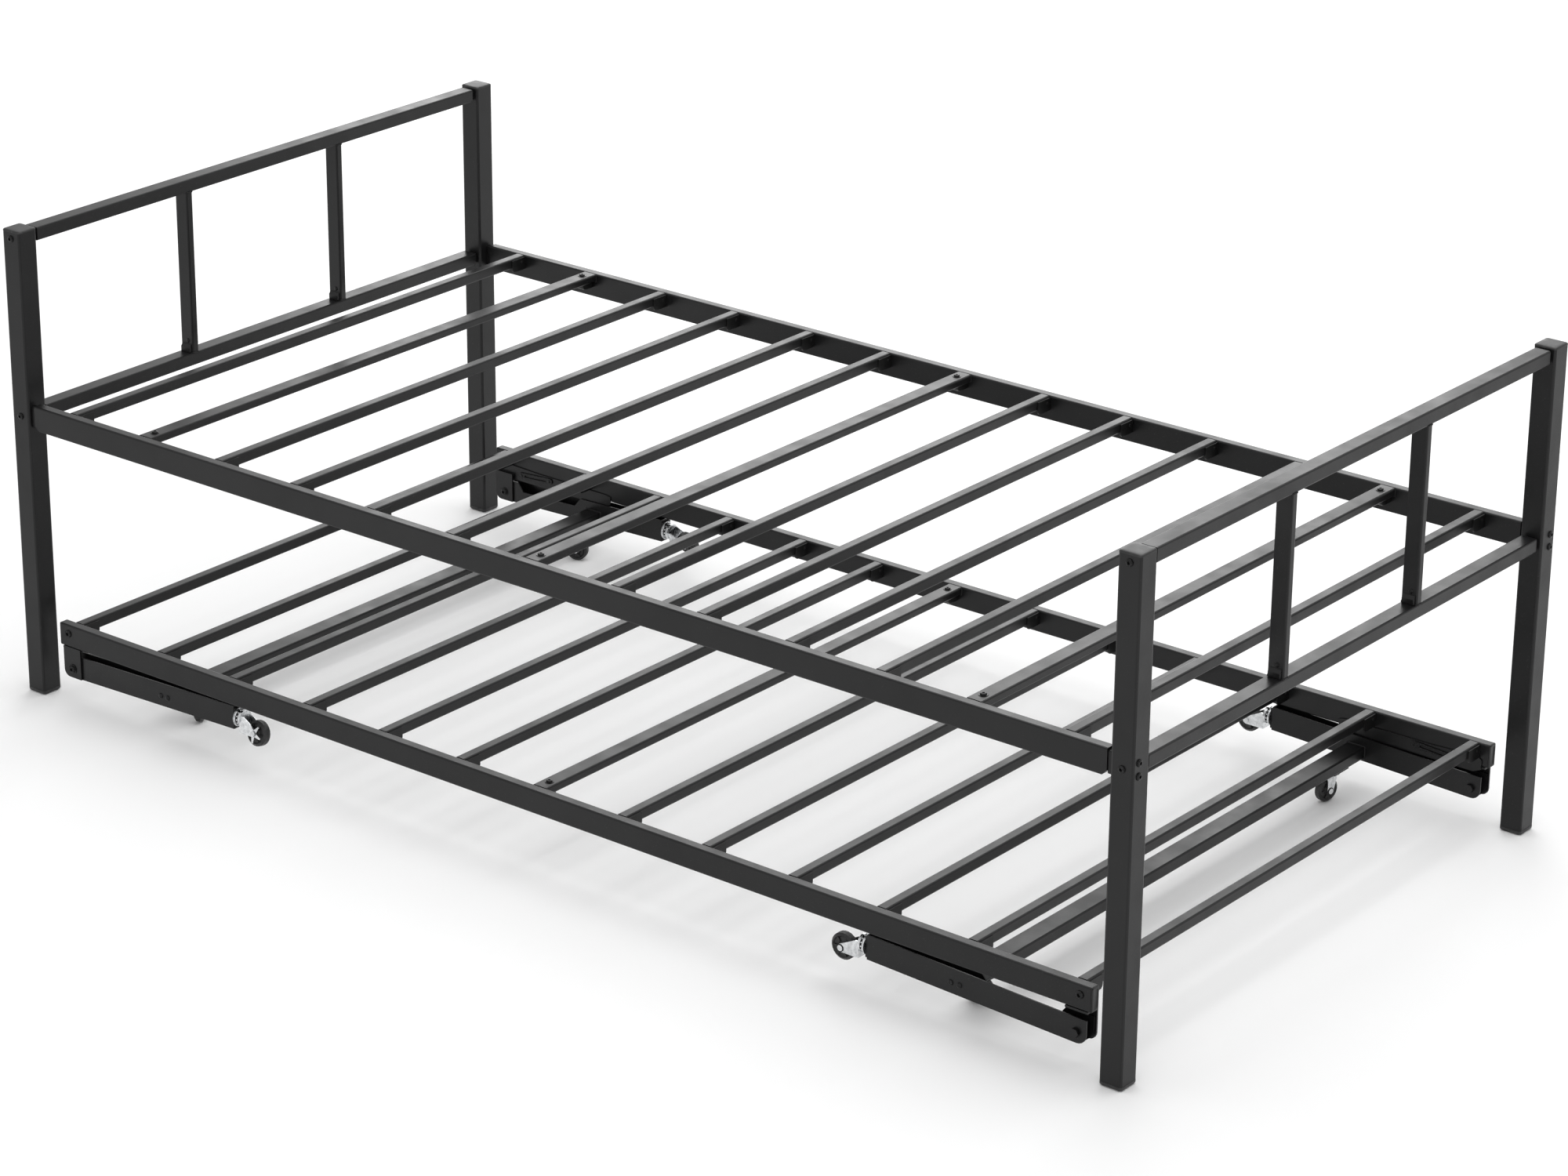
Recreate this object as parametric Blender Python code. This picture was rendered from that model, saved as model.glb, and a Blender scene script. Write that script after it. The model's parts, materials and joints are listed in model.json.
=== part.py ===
"""Single metal bed with a roll-out trundle on folding legs.

Frame: X along the bed (head end at -X, foot end at +X), Y across it (near
side at -Y, where the trundle rolls out), Z up, origin on the floor under the
middle of the bed. Units are metres. Every tube is a real open-ended tube.
"""

import math

import bmesh
import bpy
from mathutils import Matrix, Vector

# Bed frame
BED_LENGTH = 1.980
BED_WIDTH = 1.008
BED_HEIGHT = 0.720
POST = 0.034
POST_RADIUS = 0.0030
POST_WALL = 0.0013
FOOT_BORE = 0.004
DECK_TOP = 0.457

SIDE_RAIL_HEIGHT = 0.038
SIDE_RAIL_WIDTH = 0.016
SIDE_RAIL_INSET = 0.004
SIDE_RAIL_STANDOFF = 0.008
SIDE_RAIL_CUT = 0.008

PANEL_RAIL_WIDTH = 0.025
PANEL_RAIL_HEIGHT = 0.020
PANEL_TOP = 0.7175
PANEL_LOWER_TOP = 0.447
PANEL_STANDOFF = 0.006
BALUSTER_Y = 0.160
BALUSTER_DEPTH = 0.025
BALUSTER_WIDTH = 0.012

SLAT_COUNT = 13
SLAT_PITCH = 0.147
SLAT = 0.016
FLAT_SLAT_WIDTH = 0.025
FLAT_SLAT_HEIGHT = 0.012
BED_FLAT_SLATS = (2, 7, 12)

# Trundle deck
TRUNDLE_LENGTH = 1.859
TRUNDLE_WIDTH = 0.978
TRUNDLE_TOP = 0.120
TRUNDLE_RAIL_HEIGHT = 0.035
TRUNDLE_RAIL_WIDTH = 0.016
TRUNDLE_END_SLAT = 0.9055
TRUNDLE_FLAT_SLATS = (7,)

# Folding leg frames: the pivot is the origin of each
PIVOT_X = 0.9075
PIVOT_Z = 0.051
ARM_LENGTH = 0.3315
ARM_TAIL = 0.016
ARM_BELOW = 0.0148
ARM_ABOVE = 0.0207
ARM_WIDTH = 0.019
ARM_WALL = 0.0020
ARM_NEAR_Y = -0.4763
ARM_FAR_Y = 0.4780
WINDOW_START = 0.026
WINDOW_END = 0.160
WINDOW_DEPTH = 0.0150
ARM_RISE = math.radians(1.8)
CROSSBAR_X = 0.189
CROSSBAR_WIDTH = 0.030
CROSSBAR_BOTTOM = 0.046
CROSSBAR_HEIGHT = 0.018
TIP_PLATE = 0.003
PIN_RADIUS = 0.0040
PIN_BORE = 0.0045

# Hinge brackets
BRACKET_PLATE = 0.0026
BRACKET_BACK = 0.018
BRACKET_FRONT = 0.017
BRACKET_DROP = 0.0140
BRACKET_SHELF = 0.003

# Casters: (wheel radius, wheel width, axle distance from the mount, trail, race radius)
LIFT_CASTER = (0.019, 0.015, 0.040, 0.014, 0.0135)
FLOOR_CASTER = (0.018, 0.014, 0.0260, 0.013, 0.0100)
HEEL = {"lift": -0.0045, "floor": 0.0030}
CHEEK = 0.0018
CHEEK_GAP = 0.0010
LIFT_CASTER_TURN = {"head_near": 12, "head_far": -20, "foot_near": 0, "foot_far": 0}
BRAKED = ("head_near", "foot_far")
STAR_POINTS = 5
STAR_RADIUS = (0.0140, 0.0050)
STAR_PLATE = 0.0018
FLOOR_CASTER_Y = 0.410
FLOOR_MOUNT_Z = 0.044
LIFT_STEM_Z = 0.064
FLOOR_CASTER_TURN = {"head_near": -60, "head_far": 20, "foot_near": -150, "foot_far": -105}

TUBE_WALL = 0.0012
TUBE_RADIUS = 0.0022
CORNER_STEPS = 2
WHEEL_SIDES = 24
FIT = 0.0003

COLOURS = {
    "powder_coat": ((0.020, 0.020, 0.021), 0.40, 0.0),
    "bright_zinc": ((0.62, 0.63, 0.64), 0.25, 1.0),
    "wheel_plastic": ((0.018, 0.018, 0.018), 0.45, 0.0),
}


def clear_scene():
    """Remove every object of the scene."""
    for obj in list(bpy.data.objects):
        bpy.data.objects.remove(obj, do_unlink=True)


def material(name, slot):
    """A Principled material of one of the three finishes."""
    colour, roughness, metallic = COLOURS[slot]
    made = bpy.data.materials.new(name)
    made.use_nodes = True
    shader = made.node_tree.nodes["Principled BSDF"]
    shader.inputs["Base Color"].default_value = (*colour, 1.0)
    shader.inputs["Roughness"].default_value = roughness
    shader.inputs["Metallic"].default_value = metallic
    made.diffuse_color = (*colour, 1.0)
    return made


def finish(obj, slot, smooth_angle=40):
    """Give the object its own material and its shading."""
    obj.data.materials.clear()
    obj.data.materials.append(material(obj.name + "_finish", slot))
    obj.data.shade_smooth()
    obj.data.set_sharp_from_angle(angle=math.radians(smooth_angle))
    return obj


def new_object(name, mesh, helper=False):
    """Link a mesh as an object; a helper only shapes others."""
    obj = bpy.data.objects.new(name, mesh)
    bpy.context.scene.collection.objects.link(obj)
    if helper:
        obj.hide_render = True
        obj.display_type = "WIRE"
    return obj


def rounded_rectangle(width, height, radius, steps=CORNER_STEPS):
    """Points of a rounded rectangle about the origin, anticlockwise."""
    points = []
    corners = ((1, 1, 0), (-1, 1, 90), (-1, -1, 180), (1, -1, 270))
    for sx, sy, start in corners:
        for step in range(steps + 1):
            angle = math.radians(start + 90 * step / steps)
            x = sx * (width / 2 - radius) + radius * math.cos(angle)
            y = sy * (height / 2 - radius) + radius * math.sin(angle)
            points.append((x, y))
    return points


def circle(radius, count):
    """Points of a circle that start where a rounded rectangle's do."""
    half = math.pi / count
    return [
        (radius * math.cos(half + 2 * math.pi * i / count), radius * math.sin(half + 2 * math.pi * i / count))
        for i in range(count)
    ]


def place_points(points, station, axis):
    """Turn flat points into 3-D ones at a station along an axis."""
    if axis == "X":
        return [Vector((station, a, b)) for a, b in points]
    if axis == "Y":
        return [Vector((b, station, a)) for a, b in points]
    return [Vector((a, b, station)) for a, b in points]


def skin(name, loops, axis, closed, helper=False):
    """Skin a list of (points, station) loops into one closed body.

    A closed skin joins its last loop to its first, as a tube's inner and
    outer walls do. An open one has both end loops filled.
    """
    mesh = bpy.data.meshes.new(name)
    work = bmesh.new()
    rings = []
    for points, station in loops:
        rings.append([work.verts.new(p) for p in place_points(points, station, axis)])
    pairs = list(zip(rings, rings[1:]))
    if closed:
        pairs.append((rings[-1], rings[0]))
    for low, high in pairs:
        for i in range(len(low)):
            j = (i + 1) % len(low)
            work.faces.new((low[i], low[j], high[j], high[i]))
    if not closed:
        work.faces.new(list(reversed(rings[0])))
        work.faces.new(rings[-1])
    bmesh.ops.recalc_face_normals(work, faces=work.faces)
    work.to_mesh(mesh)
    work.free()
    return new_object(name, mesh, helper)


def tube(name, axis, length, width, height, radius=TUBE_RADIUS, wall=TUBE_WALL):
    """An open-ended rectangular tube centred on the origin."""
    outer = rounded_rectangle(width, height, radius)
    inner = rounded_rectangle(width - 2 * wall, height - 2 * wall, max(radius - wall, 0.0004))
    half = length / 2
    loops = [(outer, -half), (outer, half), (inner, half), (inner, -half)]
    return skin(name, loops, axis, closed=True)


def spigot_tube(name, axis, size, half, reach, spigot, bore):
    """A tube whose ends carry a smaller bored plug that stands proud.

    size, spigot and bore are (width, height, corner radius); half is the
    tube's half length and reach how far each plug stands out of it.
    """
    width, height, radius = size
    outer = rounded_rectangle(width, height, radius)
    inner = rounded_rectangle(width - 2 * TUBE_WALL, height - 2 * TUBE_WALL, radius - TUBE_WALL)
    plug = rounded_rectangle(*spigot)
    hole = rounded_rectangle(*bore)
    deep = half - 0.012
    loops = [
        (outer, -half),
        (outer, half),
        (plug, half),
        (plug, half + reach),
        (hole, half + reach),
        (hole, deep),
        (inner, deep),
        (inner, -deep),
        (hole, -deep),
        (hole, -half - reach),
        (plug, -half - reach),
        (plug, -half),
    ]
    return skin(name, loops, axis, closed=True)


def block(name, low, high, helper=True):
    """An axis-aligned box between two corners."""
    x = (low[0], high[0])
    y = (low[1], high[1])
    flat = [(x[0], y[0]), (x[1], y[0]), (x[1], y[1]), (x[0], y[1])]
    return skin(name, [(flat, low[2]), (flat, high[2])], "Z", closed=False, helper=helper)


def rod(name, radius, low, high, axis, count=20, centre=(0.0, 0.0, 0.0), helper=True):
    """A cylinder along an axis through a centre."""
    obj = skin(name, [(circle(radius, count), low), (circle(radius, count), high)], axis, False, helper)
    obj.data.transform(Matrix.Translation(Vector(centre)))
    return obj


def prism(name, outline, low, high, axis, helper=True):
    """An outline extruded between two stations of an axis."""
    return skin(name, [(outline, low), (outline, high)], axis, closed=False, helper=helper)


def boolean(obj, other, operation):
    """Add an exact Boolean modifier."""
    modifier = obj.modifiers.new(operation.lower() + "_" + other.name, "BOOLEAN")
    modifier.operation = operation
    modifier.solver = "EXACT"
    modifier.object = other
    return obj


def settle(obj):
    """Replace an object's mesh by its evaluated one and drop its helpers."""
    helpers = [m.object for m in obj.modifiers if m.type == "BOOLEAN"]
    graph = bpy.context.evaluated_depsgraph_get()
    mesh = bpy.data.meshes.new_from_object(obj.evaluated_get(graph))
    obj.modifiers.clear()
    obj.data = mesh
    obj.data.name = obj.name
    for helper in helpers:
        bpy.data.objects.remove(helper, do_unlink=True)
    return obj


def copy_mesh(name, source):
    """Another object with its own copy of a finished mesh."""
    return new_object(name, source.data.copy())


def arc(centre, radius, start, end, steps):
    """Points of an arc; the angles are in degrees."""
    points = []
    for step in range(steps + 1):
        angle = math.radians(start + (end - start) * step / steps)
        points.append((centre[0] + radius * math.cos(angle), centre[1] + radius * math.sin(angle)))
    return points


# ---------------------------------------------------------------- bed frame


def post(name, x, y):
    """A corner post with a closed cap and a bevelled foot glide."""
    side = POST
    cap = 0.0014
    top = BED_HEIGHT
    body = rounded_rectangle(side, side, POST_RADIUS)
    cap_face = rounded_rectangle(side - 2 * cap, side - 2 * cap, POST_RADIUS - cap / 2)
    foot_face = rounded_rectangle(side - 0.005, side - 0.005, POST_RADIUS)
    inner = rounded_rectangle(side - 2 * POST_WALL, side - 2 * POST_WALL, POST_RADIUS - POST_WALL)
    hole = circle(FOOT_BORE, len(body))
    loops = [
        (cap_face, top),
        (body, top - cap),
        (body, 0.0025),
        (foot_face, 0.0),
        (hole, 0.0),
        (hole, 0.010),
        (inner, 0.010),
        (inner, top - 0.010),
    ]
    obj = skin(name, loops, "Z", closed=False)
    obj.location = (x, y, 0.0)
    return finish(obj, "powder_coat")


def panel(name, x):
    """A welded end panel: top rail, lower rail and two balusters."""
    half = BED_WIDTH / 2 - POST - PANEL_STANDOFF
    reach = PANEL_STANDOFF - FIT
    size = (PANEL_RAIL_HEIGHT, PANEL_RAIL_WIDTH, TUBE_RADIUS)
    spigot = (PANEL_RAIL_HEIGHT - 0.005, PANEL_RAIL_WIDTH - 0.006, TUBE_RADIUS)
    bore = (0.0066, 0.0066, 0.0030)
    centre_low = PANEL_LOWER_TOP - PANEL_RAIL_HEIGHT / 2
    centre_top = PANEL_TOP - PANEL_RAIL_HEIGHT / 2
    obj = spigot_tube(name, "Y", size, half, reach, spigot, bore)
    obj.data.transform(Matrix.Translation((0.0, 0.0, centre_top)))
    lower = spigot_tube(name + "_lower", "Y", size, half, reach, spigot, bore)
    lower.data.transform(Matrix.Translation((0.0, 0.0, centre_low)))
    lower.hide_render = True
    lower.display_type = "WIRE"
    boolean(obj, lower, "UNION")
    bottom = PANEL_LOWER_TOP - TUBE_WALL / 2
    top = PANEL_TOP - PANEL_RAIL_HEIGHT + TUBE_WALL / 2
    outer = rounded_rectangle(BALUSTER_DEPTH - 0.0004, BALUSTER_WIDTH, TUBE_RADIUS)
    inner = rounded_rectangle(
        BALUSTER_DEPTH - 0.0004 - 2 * TUBE_WALL, BALUSTER_WIDTH - 2 * TUBE_WALL, TUBE_RADIUS - TUBE_WALL
    )
    for tag, side in (("near", -1), ("far", 1)):
        bar = prism(name + "_bar_" + tag, outer, bottom, top, "Z")
        bar.data.transform(Matrix.Translation((0.0, side * BALUSTER_Y, 0.0)))
        boolean(obj, bar, "UNION")
    for tag, side in (("near", -1), ("far", 1)):
        bore_low = bottom - 0.003
        bore_top = top + 0.003
        hollow = prism(name + "_hollow_" + tag, inner, bore_low, bore_top, "Z")
        hollow.data.transform(Matrix.Translation((0.0, side * BALUSTER_Y, 0.0)))
        boolean(obj, hollow, "DIFFERENCE")
    settle(obj)
    obj.location = (x, 0.0, 0.0)
    return finish(obj, "powder_coat")


def side_rail(name, side):
    """A bed side rail: a tall tube with a bored plug at each end."""
    half = BED_LENGTH / 2 - POST - SIDE_RAIL_STANDOFF
    reach = SIDE_RAIL_STANDOFF - FIT
    size = (SIDE_RAIL_WIDTH, SIDE_RAIL_HEIGHT, TUBE_RADIUS)
    spigot = (SIDE_RAIL_WIDTH - 0.004, SIDE_RAIL_HEIGHT - 0.006, TUBE_RADIUS)
    bore = (0.0062, 0.0240, 0.0030)
    obj = spigot_tube(name, "X", size, half, reach, spigot, bore)
    cut = SIDE_RAIL_CUT
    low = -SIDE_RAIL_HEIGHT / 2
    for tag, sign in (("a", -1), ("b", 1)):
        x = sign * half
        corner = [(low - 0.002, x + sign * 0.0004), (low - 0.002, x - sign * (cut + 0.002))]
        corner += [(low, x - sign * cut), (low + cut, x), (low + cut, x + sign * 0.0004)]
        wedge = prism(name + "_cut_" + tag, corner, -0.02, 0.02, "Y")
        boolean(obj, wedge, "DIFFERENCE")
    settle(obj)
    y = BED_WIDTH / 2 - SIDE_RAIL_INSET - SIDE_RAIL_WIDTH / 2
    obj.location = (0.0, side * y, DECK_TOP - SIDE_RAIL_HEIGHT / 2)
    return finish(obj, "powder_coat")


def slat(name, x, top, span, flat):
    """One cross slat, square or flat, its top flush with the rails."""
    width = FLAT_SLAT_WIDTH if flat else SLAT
    height = FLAT_SLAT_HEIGHT if flat else SLAT
    obj = tube(name, "Y", span - 2 * FIT, height, width)
    obj.location = (x, 0.0, top - height / 2)
    return finish(obj, "powder_coat")


def build_bed():
    """The standing bed: posts, end panels, side rails and slats."""
    corner_x = BED_LENGTH / 2 - POST / 2
    corner_y = BED_WIDTH / 2 - POST / 2
    for end, sx in (("head", -1), ("foot", 1)):
        for side, sy in (("near", -1), ("far", 1)):
            post("post_" + end + "_" + side, sx * corner_x, sy * corner_y)
    panel("headboard_panel", -corner_x)
    panel("footboard_panel", corner_x)
    side_rail("bed_rail_near", -1)
    side_rail("bed_rail_far", 1)
    span = BED_WIDTH - 2 * SIDE_RAIL_INSET - 2 * SIDE_RAIL_WIDTH
    for index in range(1, SLAT_COUNT + 1):
        x = (index - 1 - SLAT_COUNT // 2) * SLAT_PITCH
        slat("bed_slat_%02d" % index, x, DECK_TOP, span, index in BED_FLAT_SLATS)


# ------------------------------------------------------------- trundle deck


def build_trundle_deck():
    """The rolling deck: two rails and thirteen slats."""
    y = TRUNDLE_WIDTH / 2 - TRUNDLE_RAIL_WIDTH / 2
    for side, sign in (("near", -1), ("far", 1)):
        name = "trundle_rail_" + side
        rail = tube(name, "X", TRUNDLE_LENGTH, TRUNDLE_RAIL_WIDTH, TRUNDLE_RAIL_HEIGHT)
        rail.location = (0.0, sign * y, TRUNDLE_TOP - TRUNDLE_RAIL_HEIGHT / 2)
        finish(rail, "powder_coat")
    span = TRUNDLE_WIDTH - 2 * TRUNDLE_RAIL_WIDTH
    for index in range(1, SLAT_COUNT + 1):
        x = (index - 1 - SLAT_COUNT // 2) * SLAT_PITCH
        if index in (1, SLAT_COUNT):
            x = math.copysign(TRUNDLE_END_SLAT, x)
        flat = index in TRUNDLE_FLAT_SLATS
        slat("trundle_slat_%02d" % index, x, TRUNDLE_TOP, span, flat)


# --------------------------------------------------------------- leg frames


def arm_outline(inset, tip, tail, round_end):
    """Outline of an arm in XZ about the pivot, tilted by its rise."""
    low = -ARM_BELOW + inset
    high = ARM_ABOVE - inset
    radius = ARM_BELOW if round_end else 0.0
    points = [(tip, low), (tip, high), (-tail, high)]
    if round_end:
        points += arc((-tail + radius, low + radius), radius, 180, 270, 5)
    else:
        points.append((-tail, low))
    slope = math.tan(ARM_RISE)
    return [(x, z + slope * x) for x, z in points]


def flip(outline):
    """Swap an XZ outline into the (Z, X) order of a Y extrusion."""
    return [(z, x) for x, z in outline]


def leg_frame(name):
    """Two open-topped arms and their crossbar, welded, with the four caster mounts."""
    outline = flip(arm_outline(0.0, ARM_LENGTH, ARM_TAIL, True))
    rise = math.tan(ARM_RISE)
    near_x, far_x = -ARM_TAIL - 0.01, ARM_LENGTH - 0.002
    floor = -ARM_BELOW + ARM_WALL
    hollow = flip(
        [(near_x, floor + rise * near_x), (far_x, floor + rise * far_x), (far_x, 0.06), (near_x, 0.06)]
    )
    arms = ((ARM_NEAR_Y, "near"), (ARM_FAR_Y, "far"))
    half = ARM_WIDTH / 2
    obj = prism(name, outline, ARM_NEAR_Y - half, ARM_NEAR_Y + half, "Y", helper=False)
    far = prism(name + "_far", outline, ARM_FAR_Y - half, ARM_FAR_Y + half, "Y")
    boolean(obj, far, "UNION")
    low = CROSSBAR_BOTTOM - PIVOT_Z
    high = low + CROSSBAR_HEIGHT
    bar = rounded_rectangle(high - low, CROSSBAR_WIDTH, TUBE_RADIUS)
    bar = [(a + (low + high) / 2, b + CROSSBAR_X) for a, b in bar]
    near_wall = ARM_NEAR_Y + half
    far_wall = ARM_FAR_Y - half
    cross = prism(name + "_cross", bar, near_wall - 0.0006, far_wall + 0.0006, "Y")
    boolean(obj, cross, "UNION")
    mount = FLOOR_MOUNT_Z - PIVOT_Z
    for tag, y in (("n", -FLOOR_CASTER_Y), ("f", FLOOR_CASTER_Y)):
        pad = block(
            name + "_pad_" + tag,
            (CROSSBAR_X - 0.0135, y - 0.018, mount),
            (CROSSBAR_X + 0.0135, y + 0.018, low + 0.0008),
        )
        boolean(obj, pad, "UNION")
    for tag, y in (("n", ARM_NEAR_Y), ("f", ARM_FAR_Y)):
        stem = LIFT_STEM_Z - PIVOT_Z
        plate = block(
            name + "_tip_" + tag,
            (ARM_LENGTH - 0.0008, y - half + 0.0008, stem - 0.0150),
            (ARM_LENGTH + TIP_PLATE, y + half - 0.0008, stem + 0.0150),
        )
        boolean(obj, plate, "UNION")
    for y, tag in arms:
        cut = prism(name + "_cut_" + tag, hollow, y - half + ARM_WALL, y + half - ARM_WALL, "Y")
        boolean(obj, cut, "DIFFERENCE")
    sill = ARM_ABOVE - WINDOW_DEPTH
    start, end = WINDOW_START, WINDOW_END
    lowered = [
        (start + 0.012, sill + rise * start),
        (end - 0.012, sill + rise * end),
        (end + 0.022, 0.05),
        (start - 0.022, 0.05),
    ]
    inner_face = ARM_FAR_Y - half
    window = prism(name + "_window", flip(lowered), inner_face - 0.002, inner_face + ARM_WALL + 0.002, "Y")
    boolean(obj, window, "DIFFERENCE")
    core = rounded_rectangle(high - low - 2 * TUBE_WALL, CROSSBAR_WIDTH - 2 * TUBE_WALL, 0.001)
    core = [(a + (low + high) / 2, b + CROSSBAR_X) for a, b in core]
    void = prism(name + "_void", core, near_wall - 0.005, far_wall + 0.005, "Y")
    boolean(obj, void, "DIFFERENCE")
    bore = rod(name + "_bore", PIN_BORE, -0.52, 0.52, "Y", 16)
    boolean(obj, bore, "DIFFERENCE")
    settle(obj)
    return finish(obj, "powder_coat")


def bracket(name, plate_side, rail_outer):
    """A hinge bracket about the pivot: plate, shelf under the rail, pin.

    plate_side is -1 or +1, the side of the arm that the plate is on;
    rail_outer is the rail's outer face measured from the arm's centre.
    """
    half = ARM_WIDTH / 2
    inside = plate_side * (half + 0.0004)
    outside = plate_side * (half + 0.0004 + BRACKET_PLATE)
    top = TRUNDLE_TOP - TRUNDLE_RAIL_HEIGHT - FIT - PIVOT_Z
    radius = 0.011
    outline = [(BRACKET_FRONT, -BRACKET_DROP), (BRACKET_FRONT, top), (-BRACKET_BACK, top)]
    outline += arc((-BRACKET_BACK + radius, -BRACKET_DROP + radius), radius, 180, 270, 5)
    obj = prism(name, flip(outline), min(inside, outside), max(inside, outside), "Y", helper=False)
    rail_inner = rail_outer - math.copysign(TRUNDLE_RAIL_WIDTH, rail_outer)
    ends = (rail_outer, rail_inner, inside, outside)
    shelf = block(
        name + "_shelf",
        (-BRACKET_BACK, min(ends), top - BRACKET_SHELF),
        (BRACKET_FRONT, max(ends), top),
    )
    boolean(obj, shelf, "UNION")
    start = (inside + outside) / 2
    end = -plate_side * (half + 0.0045)
    pin = rod(name + "_pin", PIN_RADIUS, min(start, end), max(start, end), "Y", 16)
    boolean(obj, pin, "UNION")
    nut_from = -plate_side * (half + 0.0005)
    nut = rod(name + "_nut", 0.0066, min(nut_from, end), max(nut_from, end), "Y", 6)
    boolean(obj, nut, "UNION")
    settle(obj)
    return finish(obj, "powder_coat", 30)


# ------------------------------------------------------------------ casters


def wheel_mesh(name, radius, width):
    """A plastic wheel turned about Y, with a dished web and a bore."""
    half = width / 2
    bore = 0.0030
    profile = [
        (-half, bore),
        (-half, 0.0062),
        (-half + 0.0024, 0.0080),
        (-half + 0.0024, radius - 0.0056),
        (-half + 0.0003, radius - 0.0036),
        (-half * 0.55, radius),
    ]
    profile += [(-y, r) for y, r in reversed(profile)]
    loops = [(circle(r, WHEEL_SIDES), y) for y, r in profile]
    return skin(name, loops, "Y", closed=True)


def fork_mesh(name, wheel_radius, wheel_width, axle_drop, trail, race, heel, long_axle):
    """A stamped caster fork with its swivel race and its axle.

    The origin is on the swivel axis at the mounting face, +Z points at the
    mount and the wheel trails towards +X. The cheeks start at the heel and
    narrow towards the axle. A long axle leaves room on the +Y side for a brake
    lever between the cheek and the axle's head.
    """
    inner = wheel_width / 2 + CHEEK_GAP
    outer = inner + CHEEK
    bridge_low = max(-axle_drop + wheel_radius + 0.0018, -0.0125)
    bridge_high = bridge_low + 0.0020
    bottom = -axle_drop - 0.0070
    section = [
        (-outer, bottom),
        (-inner, bottom),
        (-inner, bridge_low),
        (inner, bridge_low),
        (inner, bottom),
        (outer, bottom),
        (outer, bridge_high),
        (-outer, bridge_high),
    ]
    obj = prism(name, section, -0.030, 0.050, "X", helper=False)
    side = [(trail + 0.0056, bridge_high + 0.001), (heel, bridge_high + 0.001), (heel, bridge_low - 0.0030)]
    side += arc((trail, -axle_drop), 0.0056, 205, 360, 6)
    cutter = prism(name + "_side", flip(side), -0.03, 0.03, "Y")
    boolean(obj, cutter, "INTERSECT")
    cup = rod(name + "_cup", race, -0.0032, -0.0006, "Z", 20)
    boolean(obj, cup, "UNION")
    neck = rod(name + "_neck", race - 0.0030, bridge_high - 0.0006, -0.0026, "Z", 16)
    boolean(obj, neck, "UNION")
    if bridge_low < -0.0100:
        lower = rod(name + "_lower_cup", race - 0.0008, bridge_high - 0.0004, -0.0070, "Z", 20)
        boolean(obj, lower, "UNION")
    reach = outer + (STAR_PLATE + 2 * FIT if long_axle else 0.0)
    axle = rod(name + "_axle", 0.0024, -outer - 0.0004, reach + 0.0004, "Y", 12, (trail, 0.0, -axle_drop))
    boolean(obj, axle, "UNION")
    for tag, low, high in (("a", -outer - 0.0012, -outer + 0.0004), ("b", reach - 0.0002, reach + 0.0014)):
        start = low if long_axle or tag == "a" else reach - 0.0004
        head = rod(name + "_head_" + tag, 0.0042, start, high, "Y", 12, (trail, 0.0, -axle_drop))
        boolean(obj, head, "UNION")
    return settle(obj)


def star_lever_mesh(name, wheel_width):
    """A star-shaped brake lever that turns on the axle, outside the cheek."""
    outer = wheel_width / 2 + CHEEK_GAP + CHEEK
    low = outer + FIT
    high = low + STAR_PLATE - 2 * FIT
    tip, root = STAR_RADIUS
    rim = []
    for point in range(STAR_POINTS):
        middle = 2 * math.pi * (point + 0.25) / STAR_POINTS
        half = math.pi / STAR_POINTS
        rim.append((tip * math.cos(middle - 0.09), tip * math.sin(middle - 0.09)))
        rim.append((tip * math.cos(middle + 0.09), tip * math.sin(middle + 0.09)))
        rim.append((root * math.cos(middle + half), root * math.sin(middle + half)))
    bore = []
    for x, y in rim:
        angle = math.atan2(y, x)
        bore.append((0.0028 * math.cos(angle), 0.0028 * math.sin(angle)))
    loops = [(rim, low), (rim, high), (bore, high), (bore, low)]
    return skin(name, loops, "Y", closed=True)


def empty(name, location, rotation):
    """A parent for the pieces that share one axis system."""
    obj = bpy.data.objects.new(name, None)
    bpy.context.scene.collection.objects.link(obj)
    obj.location = location
    obj.rotation_euler = rotation
    return obj


def build_legs():
    """Both leg frames, their brackets and all eight casters."""
    frame = leg_frame("leg_frame_head")
    frame.location = (-PIVOT_X, 0.0, PIVOT_Z)
    other = copy_mesh("leg_frame_foot", frame)
    other.location = (PIVOT_X, 0.0, PIVOT_Z)
    other.rotation_euler = (0.0, 0.0, math.pi)
    finish(other, "powder_coat")
    outer = TRUNDLE_WIDTH / 2
    near = bracket("bracket_head_near", -1, -outer - ARM_NEAR_Y)
    near.location = (-PIVOT_X, ARM_NEAR_Y, PIVOT_Z)
    far = bracket("bracket_head_far", -1, outer - ARM_FAR_Y)
    far.location = (-PIVOT_X, ARM_FAR_Y, PIVOT_Z)
    for name, source, y in (
        ("bracket_foot_far", near, -ARM_NEAR_Y),
        ("bracket_foot_near", far, -ARM_FAR_Y),
    ):
        turned = copy_mesh(name, source)
        turned.location = (PIVOT_X, y, PIVOT_Z)
        turned.rotation_euler = (0.0, 0.0, math.pi)
        finish(turned, "powder_coat", 30)
    build_casters()


def hang_caster(tag, spec, mount, source):
    """Hang one fork and one wheel on a mount empty."""
    drop, trail = spec[2], spec[3]
    fork_source, wheel_source = source
    fork = copy_mesh(tag + "_fork", fork_source)
    fork.parent = mount
    finish(fork, "bright_zinc", 35)
    wheel = copy_mesh(tag + "_wheel", wheel_source)
    wheel.parent = mount
    wheel.location = (trail, 0.0, -drop)
    finish(wheel, "wheel_plastic", 35)


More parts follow.
